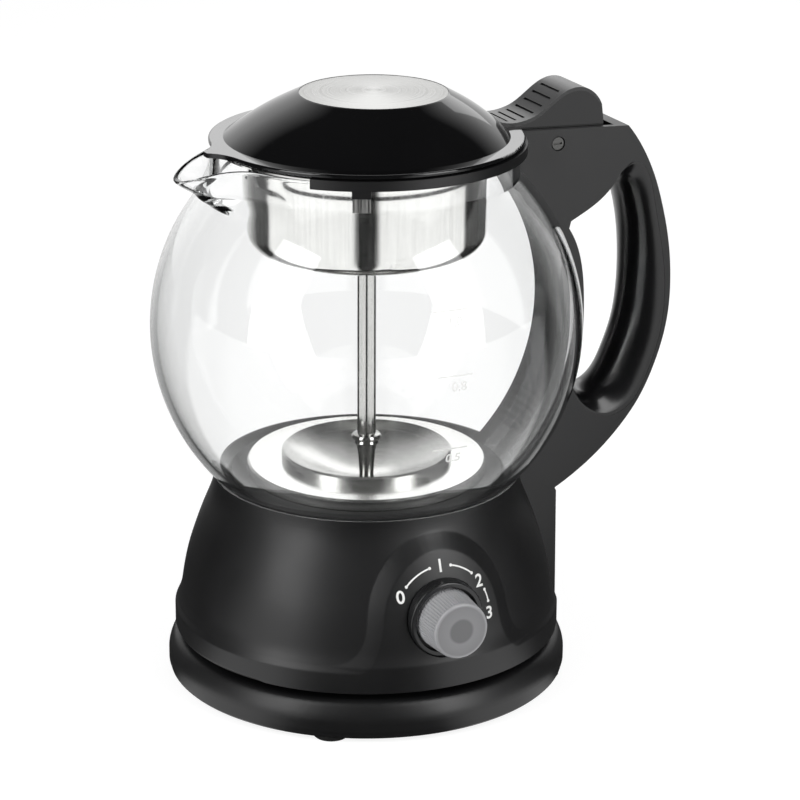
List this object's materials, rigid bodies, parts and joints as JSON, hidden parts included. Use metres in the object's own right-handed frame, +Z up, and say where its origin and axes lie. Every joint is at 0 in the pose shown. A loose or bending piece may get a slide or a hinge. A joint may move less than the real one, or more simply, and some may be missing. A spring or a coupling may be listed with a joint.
{
  "type": "automatic tea maker",
  "caption": "Cordless electric tea maker: round glass jug on a heated housing with knob, steel basket, steam tube, flip lid and loop handle.",
  "frame": {"origin": "on the table, under the middle of the whole object's width and depth; the jug's axis stands 20 mm towards -X of it", "axes": "+Z up; -Y is the front with the knob; +X points to the handle, -X to the spout"},
  "size_m": [0.1967, 0.1595, 0.2203],
  "materials": {
    "satin_black": "fine satin moulding",
    "gloss_black": "gloss",
    "connector_black": "matt",
    "black_rubber": "matt",
    "black_silicone": "satin",
    "glass": "clear",
    "polished_steel": "mirror polish",
    "brushed_steel": "brushed",
    "screw_steel": "zinc plated",
    "cast_aluminium": "as cast",
    "brass": "plain",
    "circuit_board": "matt",
    "lamp_red": "gloss",
    "clear_plastic": "smoky clear",
    "smoke_plastic": "gloss"
  },
  "bodies": {
    "power_base": {"base_cover": "satin_black", "base_plate": "satin_black", "base_feet": "black_rubber", "base_screws": "screw_steel", "base_connector": "connector_black", "base_contacts": "brass", "cord_inlet": "black_rubber"},
    "connector_ring": {"connector_ring": "connector_black"},
    "kettle": {"housing": "satin_black", "housing_bottom": "satin_black", "housing_screws": "screw_steel", "kettle_socket": "connector_black", "socket_contacts": "brass", "control_board": "circuit_board", "rotary_switch": "connector_black", "indicator_lamp": "lamp_red", "knob_bezel": "satin_black", "glass_jug": "glass", "seal_ring": "black_silicone", "clamp_ring": "cast_aluminium", "clamp_studs": "screw_steel", "heater_plate": "polished_steel", "heating_element": "brushed_steel", "thermostat": "connector_black", "steam_dish": "polished_steel", "spray_tube": "polished_steel", "tube_nut": "brushed_steel", "spray_cap": "brushed_steel", "basket": "polished_steel", "handle_body": "satin_black", "grip_insert": "gloss_black", "handle_column": "satin_black", "handle_screws": "screw_steel", "hinge_screws": "screw_steel", "collar_left": "gloss_black", "collar_right": "gloss_black", "collar_clips": "brushed_steel"},
    "knob": {"knob_cap": "clear_plastic", "knob_core": "smoke_plastic", "control_shaft": "connector_black"},
    "lid": {"lid_dome": "gloss_black", "lid_disc": "brushed_steel", "lid_flange": "gloss_black", "lid_seal": "black_silicone", "lid_screws": "screw_steel", "thumb_lever": "gloss_black", "lever_cap": "gloss_black"}
  },
  "joints": [
    {"name": "kettle_turn", "type": "hinge", "parent": "power_base", "child": "connector_ring", "pos_m": [-0.02006, 0.00145, 0.014], "axis": [0, 0, 1], "continuous": true},
    {"name": "kettle_lift", "type": "slide", "parent": "connector_ring", "child": "kettle", "axis": [0, 0, 1], "range_m": [0, 0.08]},
    {"name": "knob_turn", "type": "hinge", "parent": "kettle", "child": "knob", "pos_m": [-0.02006, -0.06615, 0.0437], "axis": [0, -1, 0], "range_deg": [-98, 60]},
    {"name": "lid_flip", "type": "hinge", "parent": "kettle", "child": "lid", "pos_m": [0.04984, 0.00145, 0.1956], "axis": [0, 1, 0], "range_deg": [0, 55]}
  ]
}
